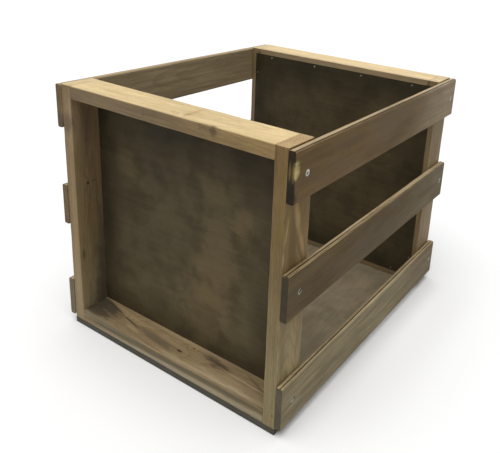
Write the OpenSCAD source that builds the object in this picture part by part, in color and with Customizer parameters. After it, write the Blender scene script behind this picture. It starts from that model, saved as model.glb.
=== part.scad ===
// Open-topped slatted wooden box for 12-inch records.
// Two end frames with plywood panels, three slats along each side and a board underneath.
// X is across the box, Y runs from the front frame to the back frame, Z is up from the ground.

/* [Overall] */
// Width over the outer faces of the end frames
frame_w = 330; // [324:1:400]
// Height of the end frames, from the base board up
frame_h = 322; // [300:1:380]
// Length over the outer faces of the two end frames
box_len = 412; // [300:1:520]

/* [End frames] */
// Thickness of the frame boards
frame_t = 16; // [15:0.5:22]
// Depth of the frame boards, from the outer face inwards
frame_d = 44; // [40:1:60]
// Radius that eases the long edges of the frame boards
frame_ease = 1; // [0.4:0.1:1.6]
// Radius that eases the sawn ends of the frame boards and slats
end_ease = 0.5; // [0.2:0.1:1]

/* [End panels] */
// Thickness of the plywood panel, flush with the inside of its frame
panel_t = 5; // [4:0.5:7]
// Width of the rebate in the frame boards that the panel sits in
rebate_w = 8; // [6:0.5:9]
// Clearance round the edge of the panel in its rebate
panel_gap = 0.3; // [0.1:0.1:0.6]

/* [Slats] */
// Thickness of the side slats
slat_t = 9; // [8:0.5:14]
// Width of each slat, which stands on edge
slat_h = 54; // [44:1:64]
// Distance that the slats run past the end frames
slat_over = 1; // [0:0.5:6]
// Height of the bottom slat above the base board
bottom_slat_lift = 3; // [0:0.5:8]
// Distance from the top slat up to the top of the end frames
top_slat_drop = 1; // [0:0.5:6]
// Distance that the middle slat sits above the middle of its gap
middle_slat_rise = 2.5; // [-6:0.5:6]
// Radius that eases the long edges of the slats
slat_ease = 2.4; // [0.6:0.1:3]

/* [Base board] */
// Thickness of the base board
base_t = 8; // [6:0.5:12]
// Radius that eases the edges of the base board
base_ease = 0.6; // [0.4:0.1:1.2]

/* [Screws] */
// Diameter of the countersunk head
head_d = 7; // [6:0.1:8]
// Height of the straight rim of the head
head_rim_h = 0.35; // [0.2:0.05:0.5]
// Height of the cone under the rim
head_cone_h = 2.1; // [1.8:0.1:2.6]
// Diameter of the plain shank
shank_d = 2.6; // [2.4:0.1:2.9]
// Diameter over the thread
thread_d = 3.5; // [3:0.1:4]
// Diameter at the root of the thread
core_d = 2.3; // [1.8:0.1:2.4]
// Distance from one turn of the thread to the next
pitch = 2; // [1.4:0.1:2.6]
// Length of the threaded part, with its point, on the longer screws
threaded_len = 24; // [14:1:30]
// Length of the point
point_len = 3.2; // [2:0.2:4]
// Depth of the cross recess
cross_depth = 1.3; // [0.8:0.1:1.4]
// Width of each slot of the cross recess
cross_w = 1; // [0.8:0.1:1.2]
// Metal left between the ends of the cross recess and the cone
cross_wall = 0.4; // [0.3:0.05:0.6]
// Length of the slat screws
slat_screw_len = 20; // [16:1:22]
// Length of the screws that join the frame boards
frame_screw_len = 40; // [30:1:50]
// Length of the base screws
base_screw_len = 20; // [16:1:22]
// Depth of each head below the face of the wood
head_sink = 0.5; // [0.1:0.1:0.8]
// Clearance between a fastener and its hole
hole_gap = 0.05; // [0.02:0.01:0.1]
// Distance from the front frame's outer face to the front slat screws
front_screw_in = 21; // [12:0.5:28]
// Distance from the back frame's outer face to the back slat screws
back_screw_in = 10; // [8:0.5:28]
// Distance from a board's edge to the frame screws
frame_screw_in = 11; // [8:0.5:13]
// Distance from the side of the frame to the outermost base screws
base_screw_in = 8; // [7:0.5:12]
// Number of base screws under each end frame
base_screws_per_end = 5; // [3:1:7]

/* [Panel pins] */
// Diameter of the pins
pin_d = 1.4; // [1:0.1:1.8]
// Diameter of the pin heads
pin_head_d = 2.6; // [2.2:0.1:3]
// Thickness of the pin heads
pin_head_t = 0.8; // [0.5:0.1:1]
// Length of the pins
pin_len = 16; // [12:1:22]
// Depth of each pin head below the face of the panel
pin_sink = 0.2; // [0.1:0.1:0.5]
// Number of pins along the top and along the bottom of each panel
pins_across = 4; // [2:1:7]
// Number of pins along each upright side of each panel
pins_up = 3; // [2:1:6]
// Distance from the inner corners of the frame to the end pins
pin_corner_in = 24; // [16:1:40]

/* [Hidden] */
$fn = 48;

pine = [0.60, 0.51, 0.36];
slat_brown = [0.43, 0.36, 0.26];
ply_dark = [0.32, 0.28, 0.20];
base_grey = [0.36, 0.34, 0.28];
steel = [0.78, 0.78, 0.76];

left = -1;
right = 1;
front = -1;
back = 1;
cut = 1;  // how far a cutting shape runs past the face that it opens

// Places on an end frame, whose own y is 0 on its outer face and grows inwards
half_w = frame_w / 2;
opening_w = frame_w - 2 * frame_t;
panel_y = frame_d - panel_t;
rebate_x = half_w - frame_t + rebate_w;
rebate_low = frame_t - rebate_w;
rebate_high = frame_h - frame_t + rebate_w;
slat_face_x = half_w + slat_t;

// Heights of the slats above the base board
bottom_slat_z = bottom_slat_lift;
top_slat_z = frame_h - top_slat_drop - slat_h;
middle_slat_z = (bottom_slat_z + top_slat_z) / 2 + middle_slat_rise;
slat_levels = [bottom_slat_z, middle_slat_z, top_slat_z];

// Shape of a screw head, and of the hole that it seats in
neck_h = head_rim_h + head_cone_h;
head_slope = (head_d - shank_d) / 2 / head_cone_h;
cross_l = head_d - 2 * ((cross_depth - head_rim_h) * head_slope + cross_wall);
hole_r = thread_d / 2 + hole_gap;
seat_r = head_d / 2 + hole_gap;
mouth_r = seat_r + head_sink * head_slope;
seat_z = head_sink + head_rim_h;
seat_h = (seat_r - hole_r) / head_slope;

// Where the fasteners go
frame_screw_ys = [frame_screw_in, panel_y - frame_screw_in];
frame_screw_zs = [frame_t / 2, frame_h - frame_t / 2];
base_screw_y = frame_d / 2;
base_screw_x = half_w - base_screw_in;
base_screw_xs = [for (i = [0 : base_screws_per_end - 1])
    base_screw_x * (2 * i / (base_screws_per_end - 1) - 1)];
pin_x = half_w - frame_t + rebate_w / 2;
pin_low = frame_t - rebate_w / 2;
pin_high = frame_h - pin_low;
pin_row_x = opening_w / 2 - pin_corner_in;
pin_row_low = frame_t + pin_corner_in;
pin_row_high = frame_h - pin_row_low;
pin_xs = [for (i = [0 : pins_across - 1]) pin_row_x * (2 * i / (pins_across - 1) - 1)];
pin_zs = [for (i = [0 : pins_up - 1]) pin_row_low + (pin_row_high - pin_row_low) * i / (pins_up - 1)];
pin_spots = concat([for (x = pin_xs, z = [pin_low, pin_high]) [x, z]],
                   [for (z = pin_zs, x = [-pin_x, pin_x]) [x, z]]);

// Board shapes

module eased_rect(a, b, r) {
    square([a, b - 2 * r], center = true);
    square([a - 2 * r, b], center = true);
    for (x = [-1, 1], y = [-1, 1]) translate([x * (a / 2 - r), y * (b / 2 - r)]) circle(r);
}

// A block centred in x and y, standing on z = 0, with all twelve edges eased.
// ease.x is the radius of the edges that run along x, and so on
module eased_block(size, ease) {
    intersection() {
        linear_extrude(size.z) eased_rect(size.x, size.y, ease.z);
        translate([0, size.y / 2, size.z / 2]) rotate([90, 0, 0])
            linear_extrude(size.y) eased_rect(size.x, size.z, ease.y);
        translate([-size.x / 2, 0, size.z / 2]) rotate([90, 0, 90])
            linear_extrude(size.x) eased_rect(size.y, size.z, ease.x);
    }
}

// Fasteners, all with the top of the head at z = 0 and the point below

module screw(len) {
    turns = floor((min(threaded_len, len - neck_h) - point_len) / pitch);
    thread_end = -(len - point_len);
    thread_top = thread_end + turns * pitch;
    thread = [for (i = [0 : turns - 1]) each [[core_d / 2, thread_top - i * pitch],
                                              [thread_d / 2, thread_top - (i + 0.5) * pitch]]];
    head = [[0, 0], [head_d / 2, 0], [head_d / 2, -head_rim_h], [shank_d / 2, -neck_h],
            [shank_d / 2, thread_top]];
    difference() {
        rotate_extrude() polygon(concat(head, thread, [[core_d / 2, thread_end], [0, -len]]));
        for (a = [0, 90]) rotate(a) translate([-cross_l / 2, -cross_w / 2, -cross_depth])
            cube([cross_l, cross_w, cross_depth + cut]);
    }
}

// The hole for a screw: a countersink whose mouth is a little wider than the head, a seat and a pilot
module screw_hole(len) {
    bottom = -(head_sink + len + hole_gap);
    rotate_extrude() polygon([[0, cut], [mouth_r, cut], [mouth_r, 0], [seat_r, -head_sink], [seat_r, -seat_z],
        [hole_r, -seat_z - seat_h], [hole_r, bottom], [0, bottom]]);
}

module pin() {
    rotate_extrude() polygon([[0, 0], [pin_head_d / 2, 0], [pin_head_d / 2, -pin_head_t / 2],
        [pin_d / 2, -pin_head_t], [pin_d / 2, -pin_len + pin_d], [0, -pin_len]]);
}

module pin_hole() {
    pin_r = pin_d / 2 + hole_gap;
    head_r = pin_head_d / 2 + hole_gap;
    bottom = -(pin_sink + pin_len + hole_gap);
    rotate_extrude() polygon([[0, cut], [head_r, cut], [head_r, -pin_sink - pin_head_t / 2],
        [pin_r, -pin_sink - pin_head_t], [pin_r, bottom], [0, bottom]]);
}

// Patterns: each places its children at every fastener of one kind

module at_end(end) {
    translate([0, end * box_len / 2, base_t]) mirror([0, end == back ? 1 : 0, 0]) children();
}

module at_slat_screws(side) {
    for (end = [front, back], z = slat_levels) {
        screw_in = end == front ? front_screw_in : back_screw_in;
        at_end(end) translate([side * slat_face_x, screw_in, z + slat_h / 2])
            rotate([0, side * 90, 0]) children();
    }
}

module at_frame_screws() {
    for (side = [left, right], y = frame_screw_ys, z = frame_screw_zs)
        translate([side * half_w, y, z]) rotate([0, side * 90, 0]) children();
}

module at_pins() {
    for (spot = pin_spots) translate([spot.x, frame_d, spot.y]) rotate([-90, 0, 0]) children();
}

module at_base_screws() {
    for (end = [front, back], x = base_screw_xs)
        at_end(end) translate([x, base_screw_y, -base_t]) rotate([180, 0, 0]) children();
}

module sunk(depth) {
    translate([0, 0, -depth]) children();
}

// The rebate that the panel drops into from the inside of the box
module panel_seat() {
    translate([-rebate_x, panel_y, rebate_low])
        cube([2 * rebate_x, panel_t + cut, rebate_high - rebate_low]);
}

// End frame boards, in the place where they stand

module stile(end, side) {
    color(pine) difference() {
        at_end(end) difference() {
            translate([side * (half_w - frame_t / 2), frame_d / 2, 0])
                eased_block([frame_t, frame_d, frame_h], [end_ease, end_ease, frame_ease]);
            panel_seat();
            at_frame_screws() screw_hole(frame_screw_len);
            at_pins() pin_hole();
        }
        at_slat_screws(side) screw_hole(slat_screw_len);
        at_base_screws() screw_hole(base_screw_len);
    }
}

module rail(end, z) {
    color(pine) difference() {
        at_end(end) difference() {
            translate([0, frame_d / 2, z])
                eased_block([opening_w, frame_d, frame_t], [frame_ease, end_ease, end_ease]);
            panel_seat();
            at_frame_screws() screw_hole(frame_screw_len);
            at_pins() pin_hole();
        }
        at_base_screws() screw_hole(base_screw_len);
    }
}

module panel(end) {
    color(ply_dark) at_end(end) difference() {
        translate([-rebate_x + panel_gap, panel_y, rebate_low + panel_gap])
            cube([2 * (rebate_x - panel_gap), panel_t, rebate_high - rebate_low - 2 * panel_gap]);
        at_pins() pin_hole();
    }
}

module slat(side, z) {
    color(slat_brown) difference() {
        translate([side * (half_w + slat_t / 2), 0, base_t + z])
            eased_block([slat_t, box_len + 2 * slat_over, slat_h], [end_ease, slat_ease, end_ease]);
        at_slat_screws(side) screw_hole(slat_screw_len);
    }
}

module slat_screws(side) {
    color(steel) at_slat_screws(side) sunk(head_sink) screw(slat_screw_len);
}

module frame_screws(end) {
    color(steel) at_end(end) at_frame_screws() sunk(head_sink) screw(frame_screw_len);
}

module panel_pins(end) {
    color(steel) at_end(end) at_pins() sunk(pin_sink) pin();
}

// Sub-parts

module front_left_stile() { stile(front, left); }
module front_right_stile() { stile(front, right); }
module front_top_rail() { rail(front, frame_h - frame_t); }
module front_bottom_rail() { rail(front, 0); }
module front_panel() { panel(front); }
module back_left_stile() { stile(back, left); }
module back_right_stile() { stile(back, right); }
module back_top_rail() { rail(back, frame_h - frame_t); }
module back_bottom_rail() { rail(back, 0); }
module back_panel() { panel(back); }
module left_bottom_slat() { slat(left, bottom_slat_z); }
module left_middle_slat() { slat(left, middle_slat_z); }
module left_top_slat() { slat(left, top_slat_z); }
module right_bottom_slat() { slat(right, bottom_slat_z); }
module right_middle_slat() { slat(right, middle_slat_z); }
module right_top_slat() { slat(right, top_slat_z); }

module base_board() {
    color(base_grey) difference() {
        eased_block([frame_w, box_len, base_t], [base_ease, base_ease, base_ease]);
        at_base_screws() screw_hole(base_screw_len);
    }
}

module left_slat_screws() { slat_screws(left); }
module right_slat_screws() { slat_screws(right); }
module front_frame_screws() { frame_screws(front); }
module back_frame_screws() { frame_screws(back); }
module front_panel_pins() { panel_pins(front); }
module back_panel_pins() { panel_pins(back); }
module base_screws() { color(steel) at_base_screws() sunk(head_sink) screw(base_screw_len); }

front_left_stile();
front_right_stile();
front_top_rail();
front_bottom_rail();
front_panel();
back_left_stile();
back_right_stile();
back_top_rail();
back_bottom_rail();
back_panel();
left_bottom_slat();
left_middle_slat();
left_top_slat();
right_bottom_slat();
right_middle_slat();
right_top_slat();
base_board();
left_slat_screws();
right_slat_screws();
front_frame_screws();
back_frame_screws();
front_panel_pins();
back_panel_pins();
base_screws();
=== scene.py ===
import math

import bmesh
import bpy
from mathutils import Matrix, Vector, noise


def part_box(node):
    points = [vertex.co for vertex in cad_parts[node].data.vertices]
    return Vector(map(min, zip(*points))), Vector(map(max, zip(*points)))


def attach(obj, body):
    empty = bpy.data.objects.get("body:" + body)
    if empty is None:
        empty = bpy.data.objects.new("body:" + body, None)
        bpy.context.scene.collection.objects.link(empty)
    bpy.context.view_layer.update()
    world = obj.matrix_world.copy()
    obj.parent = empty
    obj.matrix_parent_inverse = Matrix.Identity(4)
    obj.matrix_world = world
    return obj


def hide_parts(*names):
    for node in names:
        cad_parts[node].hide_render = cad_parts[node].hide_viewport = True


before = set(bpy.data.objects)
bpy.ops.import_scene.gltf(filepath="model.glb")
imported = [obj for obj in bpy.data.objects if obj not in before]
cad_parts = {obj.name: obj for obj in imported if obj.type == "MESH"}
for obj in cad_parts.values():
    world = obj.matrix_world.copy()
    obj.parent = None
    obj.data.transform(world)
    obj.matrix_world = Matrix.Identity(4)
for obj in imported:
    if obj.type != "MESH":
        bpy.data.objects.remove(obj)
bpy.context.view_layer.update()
print("record box: frame loaded")


# Shader maths

class Value:
    # a socket that takes part in sums, so that an expression adds its own Math nodes
    def __init__(self, graph, socket):
        self.graph = graph
        self.socket = socket

    def __add__(self, other):
        return self.graph.maths("ADD", self, other)

    def __radd__(self, other):
        return self.graph.maths("ADD", other, self)

    def __sub__(self, other):
        return self.graph.maths("SUBTRACT", self, other)

    def __rsub__(self, other):
        return self.graph.maths("SUBTRACT", other, self)

    def __mul__(self, other):
        return self.graph.maths("MULTIPLY", self, other)

    def __rmul__(self, other):
        return self.graph.maths("MULTIPLY", other, self)

    def __truediv__(self, other):
        return self.graph.maths("DIVIDE", self, other)

    def __rtruediv__(self, other):
        return self.graph.maths("DIVIDE", other, self)


class Graph:
    # the node tree of one material, or of the world
    def __init__(self, owner):
        owner.use_nodes = True
        self.owner = owner
        self.tree = owner.node_tree
        self.tree.nodes.clear()

    def node(self, kind, settings, sockets, output=0):
        # settings go first, because some of them change which sockets there are
        made = self.tree.nodes.new(kind)
        for name, setting in settings.items():
            if name == "stops":
                setStops(made.color_ramp.elements, setting)
            else:
                setattr(made, name, setting)
        for name, value in sockets.items():
            socket = made.inputs[name]
            if isinstance(value, Value):
                self.tree.links.new(value.socket, socket)
            elif socket.type == "RGBA":
                socket.default_value = (*value, 1)
            else:
                socket.default_value = value
        return Value(self, made.outputs[output] if made.outputs else None)

    def maths(self, operation, *numbers):
        return self.node("ShaderNodeMath", {"operation": operation}, dict(enumerate(numbers)))

    def greater(self, first, second):
        return self.maths("MAXIMUM", first, second)

    def lesser(self, first, second):
        return self.maths("MINIMUM", first, second)

    def absolute(self, value):
        return self.maths("ABSOLUTE", value)

    def length(self, first, second):
        return self.maths("SQRT", first * first + second * second)

    def rise(self, value, low, high):
        # 0 below low, 1 above high, smooth between
        return self.node("ShaderNodeMapRange", {"interpolation_type": "SMOOTHSTEP"},
                         {"Value": value, "From Min": low, "From Max": high})

    def ramp(self, value, stops):
        return self.node("ShaderNodeValToRGB", {"stops": stops}, {"Fac": value})

    def vector(self, x, y, z):
        return self.node("ShaderNodeCombineXYZ", {}, {"X": x, "Y": y, "Z": z})

    def split(self, vector):
        # the three numbers of a vector
        parts = self.node("ShaderNodeSeparateXYZ", {}, {"Vector": vector}).socket.node
        return [Value(self, socket) for socket in parts.outputs]

    def vectorMaths(self, operation, first, second, output="Vector"):
        return self.node("ShaderNodeVectorMath", {"operation": operation}, {0: first, 1: second}, output)

    def clouds(self, place, detail=2, roughness=0.5, *levels):
        # noise from 0 to 1 about 0.5, one cloud for each unit of place; two levels make it a mask
        # that rises between them
        cloud = self.node("ShaderNodeTexNoise", {}, {"Vector": place, "Scale": 1, "Detail": detail,
                                                     "Roughness": roughness})
        return self.rise(cloud, *levels) if levels else cloud

    def solidClouds(self, place, perMetre, detail=2, roughness=0.5, *levels):
        # the same noise, with its own count of clouds per metre each way
        return self.clouds(self.vectorMaths("MULTIPLY", place, perMetre), detail, roughness, *levels)

    def spindle(self, place, start, end, width):
        # 0 in the middle of a long oval between two points, 1 at its rim
        start, end = Vector(start), Vector(end)
        half = (end - start) / 2
        gone = self.vectorMaths("SUBTRACT", place, (start + end) / 2)
        share = self.vectorMaths("DOT_PRODUCT", gone, half / half.length_squared, "Value")
        foot = self.node("ShaderNodeVectorMath", {"operation": "SCALE"}, {0: half, "Scale": share})
        return self.length(share, self.vectorMaths("DISTANCE", gone, foot, "Value") / width)

    def mix(self, factor, first, second, blend="MIX"):
        return self.node("ShaderNodeMix", {"data_type": "RGBA", "blend_type": blend},
                         {0: factor, 6: first, 7: second}, 2)

    def tint(self, colour, gain):
        return self.mix(1.0, colour, gain, "MULTIPLY")

    def place(self):
        return self.node("ShaderNodeTexCoord", {}, {}, "Object")

    def facing(self):
        # the three numbers of the direction that the surface faces
        return self.split(self.node("ShaderNodeTexCoord", {}, {}, "Normal"))

    def lookedAt(self):
        # 1 where the camera, gloss or glass looks at the surface, 0 for light that bounces off it
        path = self.node("ShaderNodeLightPath", {}, {}).socket.node.outputs
        camera, gloss, glass = (Value(self, path[f"Is {kind} Ray"])
                                for kind in ("Camera", "Glossy", "Transmission"))
        return self.greater(camera, self.greater(gloss, glass))

    def finish(self, sockets, height):
        # height, in metres, is felt through a Bump node
        bump = self.node("ShaderNodeBump", {}, {"Strength": 1, "Distance": 1, "Height": height})
        shader = self.node("ShaderNodeBsdfPrincipled", {}, dict(sockets, Normal=bump))
        self.node("ShaderNodeOutputMaterial", {}, {"Surface": shader})
        return self.owner


def setStops(ramp, stops):
    # grey levels along a colour ramp, in place of its own two
    ramp.remove(ramp[1])
    ramp[0].position, level = stops[0]
    ramp[0].color = (level, level, level, 1)
    for place, level in stops[1:]:
        ramp.new(place).color = (level, level, level, 1)


# Stains and other marks

def mark(start, end, width, colour, share, ragged=0.8, core=0.2):
    # a long oval from one point to another; share: how much of its colour shows; ragged: how uneven
    # its rim is; core: how far from its middle line it begins to fade
    return {"from": start, "to": end, "width": width, "colour": colour, "share": share,
            "ragged": ragged, "core": core}


def paintMarks(graph, place, rough, marks, colour):
    # each mark lies over the ones before it
    for spot in marks:
        far = graph.spindle(place, spot["from"], spot["to"], spot["width"]) + (rough - 0.5) * spot["ragged"]
        shown = (1 - graph.rise(far, spot["core"], 1.0)) * spot["share"]
        colour = graph.mix(shown, colour, spot["colour"])
    return colour


# Wood

# colours are linear; widths, heights and depths are in metres; shares run from 0 to 1
frameWood = {
    "early": (0.335, 0.242, 0.124), "late": (0.21, 0.135, 0.058), "endGrain": (0.54, 0.37, 0.175),
    "streak": (0.18, 0.13, 0.068), "blotch": (0.22, 0.165, 0.09), "worn": (0.50, 0.38, 0.20),
    "pale": (0.79, 0.60, 0.31), "knot": (0.075, 0.04, 0.02),
    "ringWidth": 0.0034, "ringShare": 0.50, "streakShare": 0.38, "blotchShare": 0.42, "paleShare": 0.0,
    "arris": 0.0011, "arrisDrift": 0.0036, "wearShare": 0.36, "roughness": 0.58, "gloss": 0.25,
}
slatWood = {
    "early": (0.135, 0.090, 0.038), "late": (0.080, 0.048, 0.018), "endGrain": (0.024, 0.015, 0.004),
    "streak": (0.068, 0.044, 0.018), "blotch": (0.096, 0.067, 0.029), "worn": (0.52, 0.39, 0.21),
    "pale": (0.62, 0.47, 0.27), "knot": (0.03, 0.017, 0.008),
    "ringWidth": 0.0030, "ringShare": 0.45, "streakShare": 0.40, "blotchShare": 0.40, "paleShare": 0.75,
    "arris": 0.0011, "arrisDrift": 0.0016, "wearShare": 0.72, "roughness": 0.58, "gloss": 0.18,
}

# clouds per metre along the grain and across it, a shift that sets the pattern apart, octaves and
# roughness; a mask also has the two levels that it rises between
woodPatterns = {
    "knotRim": (160, 420, 5, 2, 0.5),
    "warpAcross": (7, 22, 1, 2, 0.5),
    "warpThrough": (9, 26, 2, 2, 0.5),
    "ripple": (60, 500, 3, 2, 0.5),
    "fibre": (55, 1500, 4, 2, 0.6),
    "pores": (150, 2600, 12, 1, 0.5, 0.58, 0.70),
    "streak": (9, 330, 6, 3, 0.6, 0.40, 0.66),
    "broad": (5, 70, 7, 2, 0.5, 0.38, 0.66),
    "blotch": (16, 38, 8, 3, 0.55, 0.42, 0.68),
    "speckle": (60, 700, 11, 2, 0.5, 0.40, 0.65),
    "wear": (22, 70, 9, 3, 0.6),
    "markRim": (70, 300, 10, 3, 0.65),
}
seedStep = 3.7  # sets one board's patterns apart from the next one's

# side is the way that a knot points, and size is half its width; it is stretched along the grain;
# push is how far it drives the rings aside, over reach sizes; its dark heart fades out to its rim
knotShape = {"side": "through", "stretch": 1.5, "push": 1.6, "reach": 2.6,
             "dark": 1.0, "heart": 0.55, "rim": 0.9}

ringShape = {"warpAcross": 0.016, "warpThrough": 0.012, "ripple": 0.16,
             "driftPerMetre": 95, "drift": 1.6,
             "stops": [(0, 0), (0.12, 0.0), (0.5, 0.22), (0.82, 0.85), (0.93, 1), (1, 0.05)]}

# where the rubbed band ends, from its middle line, and how evenly it is rubbed
arrisShape = {"long": (-0.0004, 0.0003), "end": (-0.0003, 0.0004), "endWidth": 0.3,
              "even": 0.55, "patchy": 0.45}

# how squarely a surface has to face a way to count: from where it begins to where it is whole
facingLevels = {"end": (0.55, 0.85), "up": (0.88, 0.98), "rubbed": (-0.5, 0.3), "inner": (0.5, 0.8)}

# how much each pattern adds to a shade, to the brightness of the grain, to the roughness and, in
# metres, to the height
woodFinish = {
    "paleShade": {"lateWood": 0.22, "streak": 0.12, "blotch": 0.15}, "paleDepth": (0.6, 0.6, 0.6),
    "sawnShade": {"lateWood": 0.45, "speckle": 0.3}, "sawnDepth": (0.6, 0.6, 0.6),
    "light": 0.87, "grain": {"fibre": 0.65, "broad": 0.16, "pores": -0.20},
    "roughness": {"fibre": 0.22, "blotch": 0.10, "worn": 0.08, "lateWood": -0.05},
    "height": {"fibre": 0.00005, "streak": 0.00003, "lateWood": -0.00003, "pores": -0.00004,
               "core": -0.00006},
}


def boardAxes(grain):
    # the grain's axis, then the two across it
    along = "xyz".index(grain)
    return [along] + [axis for axis in range(3) if axis != along]


def toned(colour, gains):
    return tuple(channel * gain for channel, gain in zip(colour, gains))


def weighed(patterns, weights, total=0.0):
    # the patterns added up, each by its weight
    for name, weight in weights.items():
        total = total + patterns[name] * weight
    return total


class BoardGraph(Graph):
    # a board sawn from solid rings round a tilted pith line
    def __init__(self, node, board, wood):
        super().__init__(bpy.data.materials.new(node + "_wood"))
        low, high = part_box(node)
        centre = (low + high) / 2
        self.half = (high - low) / 2
        self.board = board
        self.wood = wood
        self.order = boardAxes(board["grain"])
        self.seed = board["seed"] * seedStep
        self.point = self.place()
        parts = self.split(self.point)
        self.along, self.across, self.through = (parts[axis] - centre[axis] for axis in self.order)

    def pattern(self, name):
        perAlong, perAcross, shift, *rest = woodPatterns[name]
        spot = self.vector(self.along * perAlong + (self.seed + shift), self.across * perAcross + shift,
                           self.through * perAcross)
        return self.clouds(spot, *rest)

    def knots(self):
        # knots push the rings aside and leave a dark core
        push = 0.0
        core = 0.0
        for own in self.board.get("knots", ()):
            knot = dict(knotShape, **own)
            size = knot["size"]
            alongAt, sideAt = knot["at"]
            side = self.through if knot["side"] == "across" else self.across
            away = self.length((self.along - alongAt) / knot["stretch"], side - sideAt)
            ragged = away + (self.pattern("knotRim") - 0.5) * size * knot["rim"]
            near = away / (size * knot["reach"])
            push = push + self.maths("EXPONENT", near * near * -1) * size * knot["push"]
            core = self.greater(core, (1 - self.rise(ragged, size * knot["heart"], size)) * knot["dark"])
        return push, core

    def lateWood(self, push):
        # 0 in the early wood of each ring, 1 in its late wood
        pithAcross, pithThrough = self.board["pith"]
        warpAcross = (self.pattern("warpAcross") - 0.5) * ringShape["warpAcross"]
        warpThrough = (self.pattern("warpThrough") - 0.5) * ringShape["warpThrough"]
        radius = self.length(self.across - pithAcross + warpAcross, self.through - pithThrough + warpThrough)
        radius = radius + self.along * self.board["taper"] + push
        drift = self.clouds(self.vector(radius * ringShape["driftPerMetre"], self.seed, 0), 1)
        ripple = (self.pattern("ripple") - 0.5) * ringShape["ripple"]
        turn = self.maths("FRACT", radius / self.wood["ringWidth"] + drift * ringShape["drift"] + ripple)
        return self.ramp(turn, ringShape["stops"])

    def worn(self, facing, broad):
        # where use has rubbed the stain off the arrises
        inAlong, inAcross, inThrough = (
            self.half[axis] - self.absolute(part)
            for axis, part in zip(self.order, (self.along, self.across, self.through)))
        width = self.wood["arris"] + (self.pattern("wear") - 0.5) * self.wood["arrisDrift"]
        longGap = self.greater(inAcross, inThrough) - width
        endGap = self.greater(inAlong, self.lesser(inAcross, inThrough)) - width * arrisShape["endWidth"]
        longArris = 1 - self.rise(longGap, *arrisShape["long"])
        endArris = 1 - self.rise(endGap, *arrisShape["end"])
        worn = self.greater(longArris * (arrisShape["even"] + broad * arrisShape["patchy"]),
                            endArris * self.board.get("endWear", 0.0))
        worn = worn * (self.wood["wearShare"] * self.board.get("wear", 1.0))
        if self.board["grain"] != "z":
            # use rubs the upper arrises, not the lower ones
            worn = worn * self.rise(facing[2], *facingLevels["rubbed"])
        return worn


def woodMaterial(node, board, wood):
    # stained and waxed softwood
    graph = BoardGraph(node, board, wood)
    facing = graph.facing()
    endFace = graph.rise(graph.absolute(facing[graph.order[0]]), *facingLevels["end"])
    upFace = graph.rise(facing[2], *facingLevels["up"])
    push, core = graph.knots()
    lateWood = graph.lateWood(push)
    streak = graph.pattern("streak") * board.get("streaks", 1.0)
    blotch = graph.pattern("blotch")
    broad = graph.pattern("broad")
    worn = graph.worn(facing, broad)
    patterns = {"core": core, "lateWood": lateWood, "streak": streak, "blotch": blotch, "broad": broad,
                "worn": worn, "fibre": graph.pattern("fibre") - 0.5, "pores": graph.pattern("pores"),
                "speckle": graph.pattern("speckle")}

    # the stained faces
    tone = board.get("tone", (1, 1, 1))
    rings = lateWood * (wood["ringShare"] * board.get("rings", 1.0))
    colour = graph.mix(rings, toned(wood["early"], tone), toned(wood["late"], tone))
    colour = graph.mix(blotch * wood["blotchShare"], colour, toned(wood["blotch"], tone))
    colour = graph.mix(streak * wood["streakShare"], colour, toned(wood["streak"], tone))

    # the paler upper face, the sawn ends, and painted light on the side turned into the box
    pale = board.get("paleWood", wood["pale"])
    paleShade = weighed(patterns, woodFinish["paleShade"])
    paleFace = graph.mix(paleShade, pale, toned(pale, woodFinish["paleDepth"]))
    colour = graph.mix(upFace * board.get("pale", wood["paleShare"]), colour, paleFace)
    sawn = board.get("endGrain", wood["endGrain"])
    sawnShade = weighed(patterns, woodFinish["sawnShade"])
    sawnFace = graph.mix(sawnShade, sawn, toned(sawn, woodFinish["sawnDepth"]))
    colour = graph.mix(endFace, colour, sawnFace)
    # painted light: the sides of the left slats that face into the box are lightened
    if "inner" in board:
        litInnerFace = graph.rise(facing[0], *facingLevels["inner"])
        colour = graph.mix(litInnerFace, colour, graph.tint(colour, board["inner"]))

    # wear; the ramp of tone along the board, which is painted light on the stiles and the upper right slats;
    # marks, knots and fibres
    colour = graph.mix(worn, colour, wood["worn"])
    # painted light: the ramp lightens the stiles towards the bottom and greys the upper right slats towards
    # the back as a painted sheen
    if "toneAndLightRamp" in board:
        start, stop, gain = board["toneAndLightRamp"]
        rampShare = graph.rise(graph.along, start, stop) * (1 - upFace)
        colour = graph.mix(rampShare, colour, graph.tint(colour, gain))
    colour = paintMarks(graph, graph.point, graph.pattern("markRim"), board.get("marks", ()), colour)
    colour = graph.mix(core, colour, wood["knot"])
    grain = weighed(patterns, woodFinish["grain"], woodFinish["light"])
    colour = graph.tint(colour, graph.vector(grain, grain, grain))

    roughness = weighed(patterns, woodFinish["roughness"], wood["roughness"])
    height = weighed(patterns, woodFinish["height"])
    return graph.finish({"Base Color": colour, "Roughness": roughness, "Specular IOR Level": wood["gloss"]},
                        height)


# along the sheet, across it, shift, octaves and roughness, and the two levels of a mask
plyPatterns = {
    "wander": (6, 7, 0, 2, 0.5),
    "streak": (14, 150, 2, 3, 0.6, 0.40, 0.64),
    "patch": (16, 10, 8, 3, 0.5, 0.36, 0.64),
    "cloud": (30, 26, 6, 3, 0.55, 0.40, 0.66),
}
plyFibre = (60, 900, 900)  # along the grain and the two ways across it
figureShape = {"wander": 3.2, "alongShare": 0.35, "perMetre": (4, 8), "shift": 4,
               "stops": [(0, 0), (0.45, 0.35), (0.8, 1), (0.95, 0.8), (1, 0.05)]}
plyFinish = {"patchShare": 0.6, "cloudShare": 0.5, "streakShare": 0.14, "rimShare": 0.4,
             "light": 0.90, "grain": {"fibre": 0.40, "streak": 0.05},
             "roughness": {"fibre": 0.2, "cloud": 0.08},
             "height": {"fibre": 0.00004, "figure": 0.00002}}

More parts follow.
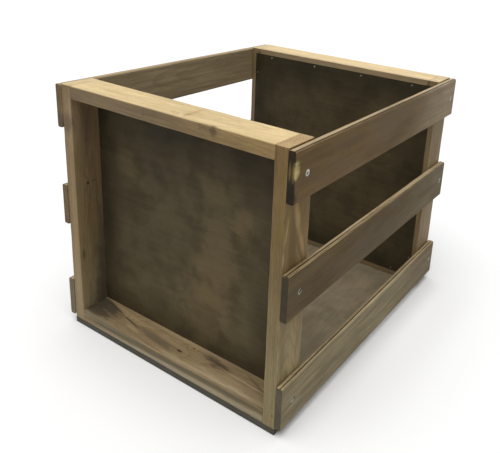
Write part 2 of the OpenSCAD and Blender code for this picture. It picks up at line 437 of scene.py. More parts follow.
# the edge of a sheet: clouds per metre each way, octaves, roughness and levels
layerPatterns = {
    "wander": ((60, 60, 60), 2, 0.5),
    "pores": ((700, 700, 1200), 2, 0.5, 0.45, 0.62),
    "blot": ((34, 34, 90), 3, 0.5, 0.40, 0.66),
}
layerFinish = {"faceLevels": (0.5, 0.85), "wander": 0.03, "layerLevels": (0.2, 0.3),
               "grime": {"pores": 0.4, "blot": 0.3}}


def plyMaterial(name, node, ply, layers=None):
    # rotary-cut veneer with a soft wandering figure
    graph = Graph(bpy.data.materials.new(name))
    low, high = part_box(node)
    centre = (low + high) / 2
    half = (high - low) / 2
    place = graph.place()
    parts = [part - middle for part, middle in zip(graph.split(place), centre)]
    order = boardAxes(ply["grain"])
    wideAxis = "xyz".index(ply["wide"])
    along = parts[order[0]]
    wide = parts[wideAxis]

    def pattern(name):
        perAlong, perWide, shift, *rest = plyPatterns[name]
        return graph.clouds(graph.vector(along * perAlong, wide * perWide, ply["seed"] + shift), *rest)

    wander = (pattern("wander") - 0.5) * figureShape["wander"]
    perAlong, perWide = figureShape["perMetre"]
    figureAlong = along * perAlong + wander * figureShape["alongShare"]
    figureWide = wide * perWide + wander
    contour = graph.clouds(graph.vector(figureAlong, figureWide, ply["seed"] + figureShape["shift"]), 1)
    figure = graph.ramp(graph.maths("FRACT", contour * ply["bands"]), figureShape["stops"])
    fibrePlace = graph.vector(*(parts[axis] * perMetre for axis, perMetre in zip(order, plyFibre)))
    streak = pattern("streak")
    cloud = pattern("cloud")
    patterns = {"fibre": graph.clouds(fibrePlace, 2, 0.6) - 0.5, "streak": streak, "cloud": cloud,
                "figure": figure}
    colour = graph.mix(figure * ply["figureShare"], ply["face"], ply["dark"])
    colour = graph.mix(pattern("patch") * plyFinish["patchShare"], colour, ply["patch"])
    colour = graph.mix(cloud * plyFinish["cloudShare"], colour, ply["dark"])
    colour = graph.mix(streak * plyFinish["streakShare"], colour, ply["streak"])
    markRim = 0.5 + (cloud - 0.5) * plyFinish["rimShare"]
    colour = paintMarks(graph, place, markRim, ply.get("marks", ()), colour)
    if layers:
        edge = 1 - graph.rise(graph.absolute(graph.facing()[2]), *layerFinish["faceLevels"])
        colour = graph.mix(edge, colour, layeredEdge(graph, place, low.z, high.z, layers))

    # painted shade: the sheet is darker along its edges, where the frame shades it, lighter towards the
    # middle, and lightens along and across it
    inside = graph.lesser(half[order[0]] - graph.absolute(along), half[wideAxis] - graph.absolute(wide))
    paintedShade = ply["rim"] + graph.rise(inside, *ply["shadeReach"]) * (1.0 - ply["rim"])
    leanAlong, leanWide = ply["shadeLean"]
    shadeLean = 1 + along * leanAlong + wide * leanWide
    grain = weighed(patterns, plyFinish["grain"], plyFinish["light"]) * shadeLean * paintedShade
    colour = graph.tint(colour, graph.vector(grain, grain, grain))
    roughness = weighed(patterns, plyFinish["roughness"], ply["roughness"])
    height = weighed(patterns, plyFinish["height"])
    return graph.finish({"Base Color": colour, "Roughness": roughness, "Specular IOR Level": ply["gloss"]},
                        height)


def layeredEdge(graph, place, bottom, top, layers):
    # the crossed layers that show on the edges of a sheet
    patterns = {name: graph.solidClouds(place, *pattern) for name, pattern in layerPatterns.items()}
    wander = (patterns["wander"] - 0.5) * layerFinish["wander"]
    level = (graph.split(place)[2] - bottom) / (top - bottom) + wander
    layer = graph.absolute(graph.maths("FRACT", level * layers["pairs"]) - 0.5)
    colour = graph.mix(graph.rise(layer, *layerFinish["layerLevels"]), layers["light"], layers["deep"])
    return graph.mix(weighed(patterns, layerFinish["grime"]), colour, layers["pore"])


steelPatterns = {"cloud": ((500, 500, 500), 3, 0.5), "scratch": ((2600, 700, 2600), 2, 0.7)}
steelFinish = {"dullLevels": (0.35, 0.7), "roughness": {"cloud": 0.25, "scratch": 0.12}, "depth": 0.00001}


def steelMaterial(name, metal, marks=()):
    # plated steel, cloudy and lightly scratched
    graph = Graph(bpy.data.materials.new(name))
    place = graph.place()
    cloud, scratch = (graph.solidClouds(place, *steelPatterns[kind]) for kind in ("cloud", "scratch"))
    colour = graph.mix(graph.rise(cloud, *steelFinish["dullLevels"]), metal["light"], metal["dull"])
    colour = paintMarks(graph, place, cloud, marks, colour)
    roughness = weighed({"cloud": cloud - 0.5, "scratch": scratch - 0.5}, steelFinish["roughness"],
                        metal["roughness"])
    return graph.finish({"Base Color": colour, "Metallic": 1.0, "Roughness": roughness},
                        scratch * steelFinish["depth"])


# Boards

# the faces that the marks below lie on
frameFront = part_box("front_top_rail")[0].y
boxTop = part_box("front_top_rail")[1].z
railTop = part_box("front_bottom_rail")[1].z
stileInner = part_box("front_left_stile")[1].x
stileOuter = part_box("front_right_stile")[1].x
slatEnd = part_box("right_top_slat")[0].y
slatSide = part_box("right_top_slat")[1].x
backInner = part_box("back_top_rail")[0].y
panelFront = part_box("front_panel")[0].y

darkLine = (0.055, 0.038, 0.02)

# grain: the axis that the board runs along
# pith: where the centre of the tree lies, across the grain from the middle of the board
# taper: how fast the rings close towards the far end
# tone: gain on the stained colours; the ramp along the board: where another gain begins and where it is
# whole; on the stiles it is painted light thrown up from the floor, on the upper two right slats a painted
# sheen towards the back
# inner: a gain of painted light on the side that is turned into the box, on the left
# wear, endWear, streaks, rings, pale: how much of each there is
# lineAt, lineEnd: the growth line on a slat's upper edge, out from its middle, and where it stops
boards = {
    "front_left_stile": {
        "grain": "z", "pith": (0.030, 0.006), "taper": 0.05, "seed": 1, "tone": (0.93, 0.90, 0.88),
        "endGrain": (0.74, 0.56, 0.31), "toneAndLightRamp": (-0.01, -0.14, (1.38, 1.56, 1.72)),
        "knots": [{"at": (0.0322, -0.0038), "size": 0.0020, "side": "across"}],
        "marks": [
            # painted light and shade on the inner side: a highlight along the front arris, lighter near the
            # front, darker towards the panel
            mark((stileInner, frameFront, -0.080), (stileInner, frameFront, 0.440), 0.019,
                 (0.44, 0.32, 0.165), 0.58),
            mark((stileInner, -0.204, 0.235), (stileInner, -0.204, 0.335), 0.015,
                 (0.48, 0.35, 0.21), 0.62),
            mark((stileInner, -0.204, 0.000), (stileInner, -0.204, 0.100), 0.014,
                 (0.48, 0.36, 0.21), 0.55),
            mark((stileInner, -0.162, -0.030), (stileInner, -0.162, 0.330), 0.020,
                 (0.16, 0.115, 0.065), 0.50),
            mark((stileInner, -0.172, -0.060), (stileInner, -0.168, 0.190), 0.018,
                 (0.115, 0.092, 0.062), 0.85),
            mark((stileInner, -0.180, -0.030), (stileInner, -0.172, 0.085), 0.022,
                 (0.115, 0.092, 0.062), 0.60),
            mark((-0.157, frameFront, 0.303), (-0.157, frameFront, 0.262), 0.014,
                 (0.180, 0.120, 0.070), 0.85, ragged=1.0),
            mark((stileInner, -0.186, 0.225), (stileInner, -0.184, 0.325), 0.014,
                 (0.17, 0.13, 0.098), 0.40),
            mark((stileInner, -0.1998, 0.1170), (stileInner, -0.1998, 0.0930), 0.0032,
                 (0.090, 0.065, 0.038), 0.60),
            mark((stileInner, -0.1842, 0.2018), (stileInner, -0.1745, 0.2032), 0.0014, darkLine, 0.9),
            mark((stileInner, -0.188, 0.257), (stileInner, -0.188, 0.262), 0.0015,
                 darkLine, 0.45, ragged=1.4),
        ]},
    "front_right_stile": {
        "grain": "z", "pith": (-0.030, -0.010), "taper": 0.10, "seed": 2, "tone": (0.84, 0.75, 0.56),
        "toneAndLightRamp": (0.13, -0.165, (1.48, 1.86, 2.50)),
        "marks": [
            mark((0.157, frameFront, 0.310), (0.157, frameFront, 0.222), 0.020,
                 (0.37, 0.265, 0.115), 0.55),
            mark((stileOuter, -0.186, 0.180), (stileOuter, -0.186, 0.340), 0.036,
                 (0.175, 0.108, 0.018), 0.70),
            mark((stileOuter, -0.1938, 0.275), (stileOuter, -0.1868, 0.165), 0.0120,
                 (0.132, 0.084, 0.024), 0.82, ragged=0.6),
            # painted shade under the top slat
            mark((stileOuter, frameFront, 0.272), (stileOuter, -0.165, 0.272), 0.0080,
                 (0.140, 0.095, 0.045), 0.50),
            # painted shade along the rear arris
            mark((stileOuter, -0.1643, 0.276), (stileOuter, -0.1643, 0.226), 0.0035,
                 (0.140, 0.100, 0.045), 0.60),
            mark((stileOuter, -0.1878, 0.238), (stileOuter, -0.1678, 0.190), 0.0024,
                 (0.130, 0.080, 0.028), 0.65, ragged=0.6),
            mark((stileOuter, -0.1918, 0.284), (stileOuter, -0.1783, 0.226), 0.0062,
                 (0.46, 0.315, 0.125), 0.85, ragged=0.6, core=0.3),
            mark((stileOuter, -0.1828, 0.246), (stileOuter, -0.1658, 0.198), 0.0042,
                 (0.41, 0.27, 0.10), 0.80, ragged=0.6),
            mark((stileOuter, -0.2033, 0.274), (stileOuter, frameFront, 0.244), 0.0020,
                 (0.15, 0.10, 0.04), 0.60, ragged=0.6),
            mark((stileOuter, -0.1983, 0.262), (stileOuter, frameFront, 0.222), 0.0016,
                 (0.46, 0.33, 0.16), 0.80, ragged=0.6),
            mark((stileOuter, -0.2052, 0.226), (stileOuter, -0.2065, 0.200), 0.0016,
                 (0.46, 0.33, 0.16), 0.80, ragged=0.6),
            # painted shade under the middle slat
            mark((stileOuter, frameFront, 0.1415), (stileOuter, -0.165, 0.1415), 0.0100,
                 (0.140, 0.110, 0.070), 0.60),
            mark((stileOuter, -0.1898, 0.096), (stileOuter, -0.1988, 0.052), 0.0019,
                 (0.45, 0.34, 0.18), 0.65, ragged=0.6),
            mark((stileOuter, -0.1888, 0.084), (stileOuter, -0.1903, 0.042), 0.0060,
                 (0.17, 0.11, 0.05), 0.50),
            mark((stileOuter, -0.1858, 0.096), (stileOuter, -0.1753, 0.056), 0.0028,
                 (0.45, 0.34, 0.18), 0.50, ragged=0.6),
            mark((stileOuter, -0.1738, 0.070), (stileOuter, -0.1688, 0.130), 0.0060,
                 (0.22, 0.145, 0.06), 0.45),
            mark((0.1615, frameFront, 0.0215), (0.1615, frameFront, 0.0275), 0.0016,
                 darkLine, 0.7, ragged=1.4),
        ]},
    "front_top_rail": {
        "grain": "x", "pith": (0.012, -0.034), "taper": 0.05, "seed": 3, "pale": 1.0, "rings": 0.7,
        "tone": (0.88, 0.88, 0.93), "toneAndLightRamp": (-0.04, 0.15, (1.65, 1.58, 1.25)),
        "marks": [
            mark((0.029, -0.208, boxTop), (0.026, -0.158, boxTop), 0.0055,
                 (0.48, 0.33, 0.16), 0.50, ragged=1.6),
            mark((0.0275, -0.200, boxTop), (0.0265, -0.186, boxTop), 0.0045,
                 (0.38, 0.25, 0.12), 0.50, ragged=1.4),
            mark((0.003, -0.194, boxTop), (0.022, -0.201, boxTop), 0.0050,
                 (0.55, 0.36, 0.19), 0.45, ragged=2.4),
            mark((0.0082, -0.1970, boxTop), (0.0118, -0.1960, boxTop), 0.0011, (0.34, 0.15, 0.06), 0.70),
            mark((0.0145, -0.2015, boxTop), (0.0185, -0.2025, boxTop), 0.0010, (0.34, 0.15, 0.06), 0.55),
            mark((0.0145, -0.1962, boxTop), (0.0195, -0.1975, boxTop), 0.0011, (0.34, 0.15, 0.06), 0.65),
            mark((0.0720, -0.2038, boxTop), (0.0835, -0.1962, boxTop), 0.0010, (0.42, 0.29, 0.14), 0.60),
            mark((0.0780, -0.1992, boxTop), (0.0930, -0.1935, boxTop), 0.0010, (0.42, 0.29, 0.14), 0.60),
            mark((0.046, frameFront, 0.328), (0.090, frameFront, 0.325), 0.0080,
                 (0.17, 0.12, 0.065), 0.50, ragged=1.2),
            mark((0.0720, frameFront, 0.334), (0.0755, frameFront, 0.318), 0.0060,
                 (0.12, 0.075, 0.038), 0.70, ragged=1.5),
            mark((0.0565, frameFront, boxTop), (0.0565, frameFront, 0.321), 0.0018,
                 (0.11, 0.07, 0.035), 0.40, ragged=1.2),
            mark((-0.026, frameFront, 0.329), (-0.026, frameFront, 0.314), 0.0014,
                 (0.17, 0.12, 0.06), 0.45, ragged=1.0),
            mark((-0.012, frameFront, 0.322), (-0.012, frameFront, 0.310), 0.0016,
                 (0.17, 0.12, 0.06), 0.40, ragged=1.0),
        ]},
    "front_bottom_rail": {
        "grain": "x", "pith": (-0.004, -0.022), "taper": -0.06, "seed": 4, "wear": 0.15,
        "tone": (1.10, 1.10, 1.12),
        "knots": [{"at": (0.0087, -0.005), "size": 0.0020, "push": 3.6, "stretch": 2.6},
                  {"at": (0.020, 0.009), "size": 0.0012, "push": 2.4, "stretch": 2.0},
                  {"at": (0.012, 0.006), "size": 0.0010, "push": 1.4, "stretch": 1.5},
                  {"at": (-0.110, 0.001), "size": 0.0040, "push": 3.2, "stretch": 2.6, "dark": 0.0}],
        "marks": [
            # a dark patch in the corner by the left stile: partly a smudge, partly painted shade
            mark((-0.179, -0.170, railTop), (-0.088, -0.189, railTop), 0.0125,
                 (0.070, 0.055, 0.035), 0.92, core=0.45),
            mark((-0.179, -0.190, railTop), (-0.099, -0.1985, railTop), 0.0125,
                 (0.075, 0.058, 0.037), 0.90, core=0.45),
            mark((-0.168, -0.1635, railTop), (-0.046, -0.1820, railTop), 0.0048,
                 (0.42, 0.305, 0.165), 0.50, ragged=0.9),
            mark((-0.083, -0.1705, railTop), (0.113, -0.1690, railTop), 0.0042,
                 (0.42, 0.31, 0.17), 0.70, ragged=0.9),
            mark((-0.146, -0.1690, railTop), (-0.090, -0.1840, railTop), 0.0023,
                 (0.080, 0.053, 0.028), 0.90, ragged=0.5),
            mark((-0.114, -0.1790, railTop), (-0.052, -0.1900, railTop), 0.0024,
                 (0.075, 0.050, 0.026), 0.85, ragged=0.6),
            mark((-0.078, -0.1845, railTop), (0.022, -0.1950, railTop), 0.0082,
                 (0.135, 0.108, 0.064), 0.80, ragged=0.9, core=0.35),
            mark((-0.0865, -0.1905, railTop), (-0.0485, -0.1965, railTop), 0.0040,
                 (0.50, 0.38, 0.21), 0.60),
            mark((0.028, -0.1740, railTop), (0.094, -0.1815, railTop), 0.0065,
                 (0.085, 0.060, 0.038), 0.90, ragged=1.1),
            mark((0.050, -0.1820, railTop), (0.068, -0.1860, railTop), 0.0035,
                 (0.100, 0.075, 0.045), 0.70, ragged=0.9),
            mark((0.018, -0.1960, railTop), (0.158, -0.1920, railTop), 0.0090,
                 (0.46, 0.35, 0.20), 0.50, ragged=1.4),
            mark((0.0965, -0.1700, railTop), (0.1420, -0.1865, railTop), 0.0028,
                 (0.120, 0.088, 0.052), 0.60),
            mark((0.056, -0.1812, railTop), (0.152, -0.1862, railTop), 0.0015,
                 (0.54, 0.42, 0.24), 0.8, ragged=0.7),
            mark((-0.060, -0.2030, railTop), (0.200, -0.1985, railTop), 0.0045,
                 (0.53, 0.425, 0.265), 0.65, ragged=0.7),
            mark((-0.300, frameFront, 0.0235), (0.020, frameFront, 0.0215), 0.0055,
                 (0.19, 0.16, 0.098), 0.75, ragged=0.7),
            mark((-0.240, frameFront, 0.0065), (0.290, frameFront, 0.0155), 0.0050,
                 (0.53, 0.47, 0.33), 0.65, ragged=0.6, core=0.4),
            mark((-0.230, frameFront, 0.0140), (0.290, frameFront, 0.0247), 0.0048,
                 (0.125, 0.115, 0.070), 0.75, ragged=0.6, core=0.4),
            mark((-0.150, frameFront, 0.0150), (-0.050, frameFront, 0.0180), 0.0028,
                 (0.09, 0.078, 0.050), 0.50),
        ]},
    "back_left_stile": {"grain": "z", "pith": (0.028, -0.004), "taper": 0.07, "seed": 5,
                        "endGrain": (0.78, 0.60, 0.34)},
    "back_right_stile": {"grain": "z", "pith": (-0.034, 0.006), "taper": -0.08, "seed": 6,
                         "endGrain": (0.80, 0.62, 0.36)},
    "back_top_rail": {
        "grain": "x", "pith": (-0.010, -0.030), "taper": 0.06, "seed": 7, "pale": 1.0,
        "paleWood": (0.86, 0.66, 0.36),
        "marks": [
            # painted light: a pale band along the upper part of the rail's inner side
            mark((-0.400, backInner, 0.322), (0.400, backInner, 0.322), 0.016, (0.54, 0.405, 0.235), 0.55),
        ]},
    "back_bottom_rail": {"grain": "x", "pith": (0.006, -0.028), "taper": 0.05, "seed": 8,
                         "knots": [{"at": (0.060, 0.002), "size": 0.0035, "push": 2.0, "stretch": 1.8}]},
    "left_bottom_slat": {
        "grain": "y", "pith": (0.05, 0.012), "taper": 0.02, "seed": 9, "endWear": 0.6,
        "tone": (1.7, 1.8, 2.2), "inner": (1.35, 1.5, 1.75), "endGrain": (0.24, 0.20, 0.125)},
    "left_middle_slat": {
        "grain": "y", "pith": (0.06, -0.008), "taper": 0.03, "seed": 10, "endWear": 0.6,
        "tone": (1.5, 1.5, 1.6), "inner": (1.5, 1.7, 2.1), "endGrain": (0.23, 0.155, 0.080)},
    "left_top_slat": {
        "grain": "y", "pith": (0.045, 0.004), "taper": -0.03, "seed": 11, "endWear": 0.6,
        "tone": (2.5, 2.6, 3.1), "inner": (1.35, 1.5, 1.75), "endGrain": (0.22, 0.145, 0.075),
        "marks": [
            mark((-0.1695, slatEnd, 0.2680), (-0.1695, slatEnd, 0.2980), 0.0100,
                 (0.110, 0.078, 0.044), 0.65, ragged=0.6, core=0.4),
        ]},
    "right_bottom_slat": {
        "grain": "y", "pith": (-0.05, -0.010), "taper": 0.02, "seed": 12, "endWear": 0.4, "streaks": 1.7,
        # its tone is high partly to paint the light that the floor throws up onto the lowest slat
        "tone": (2.65, 3.3, 4.4), "toneAndLightRamp": (0.04, 0.18, (0.71, 0.65, 0.63)), "lineAt": 0.0010,
        "endGrain": (0.150, 0.130, 0.082),
        "marks": [
            mark((0.1665, -0.300, 0.065), (0.1665, 0.300, 0.065), 0.0042,
                 (0.20, 0.150, 0.080), 0.75, ragged=0.7, core=0.4),
            mark((slatSide, -0.204, 0.030), (slatSide, -0.168, 0.034), 0.0012, (0.62, 0.52, 0.34), 0.60),
            mark((slatSide, -0.190, 0.046), (slatSide, -0.120, 0.050), 0.0014, (0.16, 0.12, 0.07), 0.60),
        ]},
    "right_middle_slat": {
        "grain": "y", "pith": (-0.06, 0.014), "taper": 0.025, "seed": 13, "endWear": 0.4,
        "tone": (0.92, 0.90, 0.66), "toneAndLightRamp": (0.05, 0.20, (1.35, 1.6, 2.4)), "lineAt": 0.0010,
        "lineEnd": 0.06, "endGrain": (0.068, 0.055, 0.028),
        "marks": [
            mark((slatSide, -0.110, 0.1725), (slatSide, 0.100, 0.1725), 0.040,
                 (0.080, 0.052, 0.018), 0.60, core=0.3),
            mark((0.1670, -0.300, 0.1995), (0.1670, -0.100, 0.1995), 0.0048,
                 (0.26, 0.18, 0.085), 0.65, ragged=0.7),
        ]},
    "right_top_slat": {
        "grain": "y", "pith": (-0.05, 0.006), "taper": 0.03, "seed": 14, "endWear": 0.4, "wear": 0.5,
        "tone": (1.27, 1.155, 0.83), "toneAndLightRamp": (0.05, 0.17, (2.25, 2.85, 5.8)), "lineAt": 0.0028,
        "marks": [
            mark((slatSide, -0.075, 0.302), (slatSide, 0.085, 0.302), 0.045,
                 (0.105, 0.066, 0.022), 0.50, core=0.3),
            mark((0.1695, slatEnd, 0.2680), (0.1695, slatEnd, 0.2950), 0.0080,
                 (0.012, 0.006, 0.001), 0.80, ragged=0.6, core=0.5),
            mark((0.1722, slatEnd, 0.2945), (0.1722, slatEnd, 0.3205), 0.0026,
                 (0.230, 0.172, 0.072), 0.90, ragged=0.6, core=0.4),
            mark((0.1678, slatEnd, 0.2950), (0.1678, slatEnd, 0.3200), 0.0020,
                 (0.200, 0.146, 0.060), 0.85, ragged=0.6, core=0.3),
            mark((0.1700, slatEnd, 0.292), (0.1700, slatEnd, 0.320), 0.0009,
                 (0.100, 0.065, 0.014), 0.85, ragged=0.6),
            mark((0.1770, -0.2045, 0.2950), (0.1770, -0.2038, 0.3225), 0.0072,
                 (0.66, 0.53, 0.23), 0.92, core=0.3),
            # brightest along the arris: partly rubbed wood, partly a painted highlight
            mark((0.1765, -0.2066, 0.2945), (0.1765, -0.2058, 0.3245), 0.0045,
                 (0.74, 0.59, 0.25), 0.90, ragged=0.5, core=0.5),
            mark((slatSide, -0.160, 0.294), (slatSide, -0.155, 0.294), 0.0012, darkLine, 0.5, ragged=1.4),
            mark((slatSide, -0.142, 0.275), (slatSide, -0.137, 0.275), 0.0012, darkLine, 0.5, ragged=1.4),
        ]},
}

# two growth lines along a slat's upper edge: how far out from its middle, and how wide
growthLine = {"colour": (0.036, 0.020, 0.006), "share": 0.9, "beyond": 0.2,
              "outer": (0.0022, 0.0015), "inner": (-0.0036, 0.0006)}

# station: spacing of the cuts along the board; wearBand: how far the wear reaches from an arris
boardShape = {"station": 0.008, "endStations": (0.0012, 0.0028, 0.005), "wearBand": 0.0036,
              "dent": 0.00035, "steady": 0.35, "wavesPerMetre": 28, "fineWaves": 3.1, "fineShare": 0.5,
              "sideSeeds": (7.3, 3.1), "mergeWithin": 2e-6, "cutWithin": 1e-6, "sharpAngle": 32}


def growthLines(node, board):
    low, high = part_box(node)
    outward = 1 if "right" in node else -1
    middle = (low.x + high.x) / 2
    start = low.y - growthLine["beyond"]
    end = board.get("lineEnd", high.y + growthLine["beyond"])
    outerAt, outerWidth = growthLine["outer"]
    lines = []
    for inset, width in ((board.get("lineAt", outerAt), outerWidth), growthLine["inner"]):
        x = middle + outward * inset
        lines.append(mark((x, start, high.z), (x, end, high.z), width, growthLine["colour"],
                          growthLine["share"], ragged=0.5, core=0.5))
    return lines


def cutAcross(bm, axis, place):
    # a ring of new edges round the board
    normal = Vector((0, 0, 0))
    normal[axis] = 1
    bmesh.ops.bisect_plane(bm, geom=bm.verts[:] + bm.edges[:] + bm.faces[:], dist=boardShape["cutWithin"],
                           plane_co=normal * place, plane_no=normal)


def wearArrises(bm, board, centre, half):
    # each arris is worn and dented unevenly
    grainAxis, acrossAxis, throughAxis = boardAxes(board["grain"])
    acrossSeed, throughSeed = boardShape["sideSeeds"]
    for vertex in bm.verts:
        offset = vertex.co - centre
        acrossSide = offset[acrossAxis]
        throughSide = offset[throughAxis]
        gap = math.hypot(half[acrossAxis] - abs(acrossSide), half[throughAxis] - abs(throughSide))
        if gap >= boardShape["wearBand"]:
            continue
        share = (1 - gap / boardShape["wearBand"]) ** 2
        place = Vector((vertex.co[grainAxis] * boardShape["wavesPerMetre"], 0, 0))
        place += Vector((math.copysign(acrossSeed, acrossSide), math.copysign(throughSeed, throughSide),
                         board["seed"]))
        wave = noise.noise(place)
        fineWave = boardShape["fineShare"] * noise.noise(place * boardShape["fineWaves"])
        depth = max(0.0, boardShape["steady"] + wave + fineWave) * boardShape["dent"] * share
        vertex.co[acrossAxis] -= math.copysign(depth, acrossSide)
        vertex.co[throughAxis] -= math.copysign(depth, throughSide)


def refinedMesh(node, board, name):
    low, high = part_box(node)
    centre = (low + high) / 2
    half = (high - low) / 2
    grainAxis, *sideAxes = boardAxes(board["grain"])
    bm = bmesh.new()
    bm.from_mesh(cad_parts[node].data)
    bmesh.ops.remove_doubles(bm, verts=bm.verts, dist=boardShape["mergeWithin"])
    length = 2 * half[grainAxis]
    count = round(length / boardShape["station"])
    for step in range(1, count):
        cutAcross(bm, grainAxis, low[grainAxis] + step * length / count)
    for inset in boardShape["endStations"]:
        cutAcross(bm, grainAxis, low[grainAxis] + inset)
        cutAcross(bm, grainAxis, high[grainAxis] - inset)
    for axis in sideAxes:
        for sign in (-1, 1):
            cutAcross(bm, axis, centre[axis] + sign * (half[axis] - boardShape["wearBand"]))
    wearArrises(bm, board, centre, half)
    mesh = bpy.data.meshes.new(name)
    bm.to_mesh(mesh)
    bm.free()
    mesh.shade_smooth()
    mesh.set_sharp_from_angle(angle=math.radians(boardShape["sharpAngle"]))
    return mesh


def refinedBoard(node, board, wood):
    # the CAD board with its arrises gently and unevenly worn
    name = node + "_board"
    mesh = refinedMesh(node, board, name)
    mesh.materials.append(woodMaterial(node, board, wood))
    piece = bpy.data.objects.new(name, mesh)
    bpy.context.scene.collection.objects.link(piece)
    weighted = piece.modifiers.new("even shading", "WEIGHTED_NORMAL")
    weighted.keep_sharp = True
    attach(piece, "root")
    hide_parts(node)
    "slat_board" if "slat" in node else "frame_board"


for node, board in boards.items():
    if "slat" in node:
        board["marks"] = board.get("marks", []) + growthLines(node, board)
    refinedBoard(node, board, slatWood if "slat" in node else frameWood)
print("record box: boards refined")


# Plywood, screws and pins keep their CAD shapes

paleOlive = (0.205, 0.152, 0.075)
deepOlive = (0.046, 0.035, 0.018)
panelMarks = [
    mark((-0.120, panelFront, 0.250), (-0.070, panelFront, 0.215), 0.022, paleOlive, 0.40, ragged=1.0),
    mark((0.000, panelFront, 0.262), (0.070, panelFront, 0.228), 0.024, paleOlive, 0.40, ragged=1.0),
    mark((0.030, panelFront, 0.000), (0.030, panelFront, 0.150), 0.045, paleOlive, 0.38, ragged=1.0),
    # painted shade: a dark band along the top edge, under the top rail
    mark((-0.090, panelFront, 0.318), (0.120, panelFront, 0.305), 0.016, deepOlive, 0.50, ragged=1.0),
    mark((-0.080, panelFront, 0.276), (0.020, panelFront, 0.294), 0.016, deepOlive, 0.50, ragged=1.0),
    mark((0.040, panelFront, 0.070), (0.050, panelFront, 0.220), 0.046, paleOlive, 0.42, ragged=1.0),
    mark((0.084, panelFront, 0.160), (0.088, panelFront, 0.235), 0.018, paleOlive, 0.40, ragged=1.0),
    mark((0.116, panelFront, 0.000), (0.110, panelFront, 0.160), 0.020, deepOlive, 0.40, ragged=1.0),
    mark((-0.060, panelFront, 0.255), (-0.030, panelFront, 0.215), 0.012, deepOlive, 0.55, ragged=1.0),
    mark((0.050, panelFront, 0.290), (0.140, panelFront, 0.260), 0.020, deepOlive, 0.45, ragged=1.0),
    # painted shade: a dark band along the left edge, beside the stile
    mark((-0.140, panelFront, 0.200), (-0.132, panelFront, 0.090), 0.014, deepOlive, 0.45, ragged=1.0),
    mark((0.064, panelFront, 0.192), (0.094, panelFront, 0.230), 0.022, paleOlive, 0.40, ragged=1.0),
    mark((-0.067, panelFront, 0.260), (0.002, panelFront, 0.274), 0.012, deepOlive, 0.30, ragged=1.0),
]
# grain, wide: the axes along the face veneer and across it; then the painted shade along the edges: how far
# in from the edges it begins and stops thinning out, how much light it leaves at the rim, and how it
# lightens along, across
panelPly = {"grain": "x", "wide": "z", "seed": 3, "face": (0.102, 0.078, 0.038),
            "dark": (0.056, 0.043, 0.021), "patch": (0.130, 0.104, 0.054),
            "streak": (0.14, 0.11, 0.062), "figureShare": 0.35, "bands": 4,
            "shadeReach": (0.0047, 0.0597), "rim": 0.55, "shadeLean": (0.6, -1.2), "roughness": 0.62, "gloss": 0.18}
basePly = {"grain": "y", "wide": "x", "seed": 7, "face": (0.25, 0.20, 0.125),
           "dark": (0.15, 0.115, 0.068), "patch": (0.22, 0.185, 0.12),
           "streak": (0.30, 0.25, 0.16), "figureShare": 0.5, "bands": 6,
           "shadeReach": (0.005, 0.060), "rim": 0.8, "shadeLean": (0.0, 0.0), "roughness": 0.55, "gloss": 0.25}
baseLayers = {"pairs": 2.5, "light": (0.15, 0.145, 0.105), "deep": (0.085, 0.08, 0.058),
              "pore": (0.05, 0.046, 0.034)}
screwZinc = {"light": (0.50, 0.49, 0.45), "dull": (0.24, 0.23, 0.21), "roughness": 0.38}
pinSteel = {"light": (0.50, 0.48, 0.44), "dull": (0.28, 0.26, 0.23), "roughness": 0.45}
# a dark film, partly stain and partly painted shade, lies over the near screw heads of these slats, more on
# one than on the other, and painted shadow blackens a part of each recess, between two places measured from
# the middle of the head
headStainAndShade = {"headRadius": 0.0035, "film": (0.17, 0.15, 0.11), "reach": 0.004, "filmWidth": 0.006,
             "recess": (0.012, 0.010, 0.007), "recessFrom": (0.0006, 0.0030), "recessTo": (0.0030, 0.0),
             "recessWidth": 0.0026, "recessShare": 0.95,
             "filmShare": {"right_middle_slat": 0.80, "right_bottom_slat": 0.25}}


def dress(node, material):
    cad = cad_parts[node]
    cad.data.materials.clear()
    cad.data.materials.append(material)


def stainedAndShadedHeads():
    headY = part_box("right_slat_screws")[0].y + headStainAndShade["headRadius"]
    reach = headStainAndShade["reach"]
    headMarks = []
    for node, share in headStainAndShade["filmShare"].items():
        low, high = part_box(node)
        headZ = (low.z + high.z) / 2
        start, end = ((slatSide, headY + y, headZ + z)
                      for y, z in (headStainAndShade["recessFrom"], headStainAndShade["recessTo"]))
        headMarks.append(mark((slatSide, headY - reach, headZ), (slatSide, headY + reach, headZ),
                           headStainAndShade["filmWidth"], headStainAndShade["film"], share, ragged=1.4, core=0.6))
        # painted shadow in a part of the recess
        headMarks.append(mark(start, end, headStainAndShade["recessWidth"], headStainAndShade["recess"],
                           headStainAndShade["recessShare"], core=0.5))
    return headMarks


dress("front_panel", plyMaterial("front_panel_ply", "front_panel", dict(panelPly, marks=panelMarks)))
dress("back_panel", plyMaterial("back_panel_ply", "back_panel", dict(panelPly, seed=21, shadeLean=(0.4, -0.6))))
dress("base_board", plyMaterial("base_ply", "base_board", basePly, baseLayers))
zinc = steelMaterial("screw_zinc", screwZinc)
stainedAndShadedZinc = steelMaterial("stained_shaded_zinc", screwZinc, stainedAndShadedHeads())
dullSteel = steelMaterial("pin_steel", pinSteel)
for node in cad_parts:
    if node.endswith("_screws"):
        dress(node, stainedAndShadedZinc if node == "right_slat_screws" else zinc)
    elif node.endswith("_pins"):
        dress(node, dullSteel)
print("record box: plywood and fasteners dressed")


# Room

room = {"floorSize": 14.0, "floorGap": 0.0002,
        "floorSeen": (1.0, 1.0, 1.0), "floorBounce": (0.46, 0.44, 0.42),
        "skySeen": (1.0, 1.0, 1.0), "skyBounce": (0.38, 0.38, 0.38),
        "sunStrength": 2.25, "sunSpread": 60, "sunTilt": (12, 0, 10)}


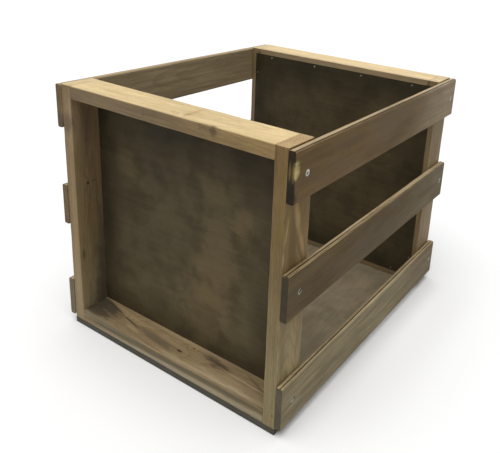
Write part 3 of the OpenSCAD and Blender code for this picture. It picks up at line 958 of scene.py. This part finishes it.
def makeFloor():
    bm = bmesh.new()
    bmesh.ops.create_grid(bm, x_segments=1, y_segments=1, size=room["floorSize"] / 2)
    mesh = bpy.data.meshes.new("floor")
    bm.to_mesh(mesh)
    bm.free()
    floor = bpy.data.objects.new("floor", mesh)
    bpy.context.scene.collection.objects.link(floor)
    floor.location.z = -room["floorGap"]
    graph = Graph(bpy.data.materials.new("floor_paper"))
    colour = graph.mix(graph.lookedAt(), room["floorBounce"], room["floorSeen"])
    paper = graph.node("ShaderNodeBsdfDiffuse", {}, {"Color": colour})
    graph.node("ShaderNodeOutputMaterial", {}, {"Surface": paper})
    mesh.materials.append(graph.owner)


def makeLight():
    world = bpy.data.worlds.new("studio")
    bpy.context.scene.world = world
    graph = Graph(world)
    colour = graph.mix(graph.lookedAt(), room["skyBounce"], room["skySeen"])
    sky = graph.node("ShaderNodeBackground", {}, {"Color": colour})
    graph.node("ShaderNodeOutputWorld", {}, {"Surface": sky})

    sun = bpy.data.lights.new("softbox", "SUN")
    sun.energy = room["sunStrength"]
    sun.angle = math.radians(room["sunSpread"])
    lamp = bpy.data.objects.new("softbox", sun)
    lamp.rotation_euler = [math.radians(turn) for turn in room["sunTilt"]]
    bpy.context.scene.collection.objects.link(lamp)


makeFloor()
makeLight()
bpy.context.scene.view_settings.view_transform = "Standard"
print("record box: floor and light ready")


# Camera

# place in metres and turns in degrees; focal and middle are pixels of the 500 by 453 image
shot = {"place": (0.4528, -0.6366, 0.5162), "turn": 31.98, "down": 18.176, "roll": 3.671,
        "focal": 604.78, "middle": (307.88, 132.56), "image": (500, 453), "sensor": 36, "nearest": 0.01}


def makeCamera():
    wide, tall = shot["image"]
    data = bpy.data.cameras.new("camera")
    data.sensor_fit = "HORIZONTAL"
    data.sensor_width = shot["sensor"]
    data.lens = shot["focal"] * shot["sensor"] / wide
    data.shift_x = (wide / 2 - shot["middle"][0]) / wide
    data.shift_y = (shot["middle"][1] - tall / 2) / wide
    data.clip_start = shot["nearest"]
    camera = bpy.data.objects.new("camera", data)
    camera.matrix_world = (Matrix.Translation(shot["place"])
                           @ Matrix.Rotation(math.radians(shot["turn"]), 4, "Z")
                           @ Matrix.Rotation(math.radians(90 - shot["down"]), 4, "X")
                           @ Matrix.Rotation(math.radians(shot["roll"]), 4, "Z"))
    bpy.context.scene.collection.objects.link(camera)
    bpy.context.scene.camera = camera


makeCamera()
print("record box: camera set")
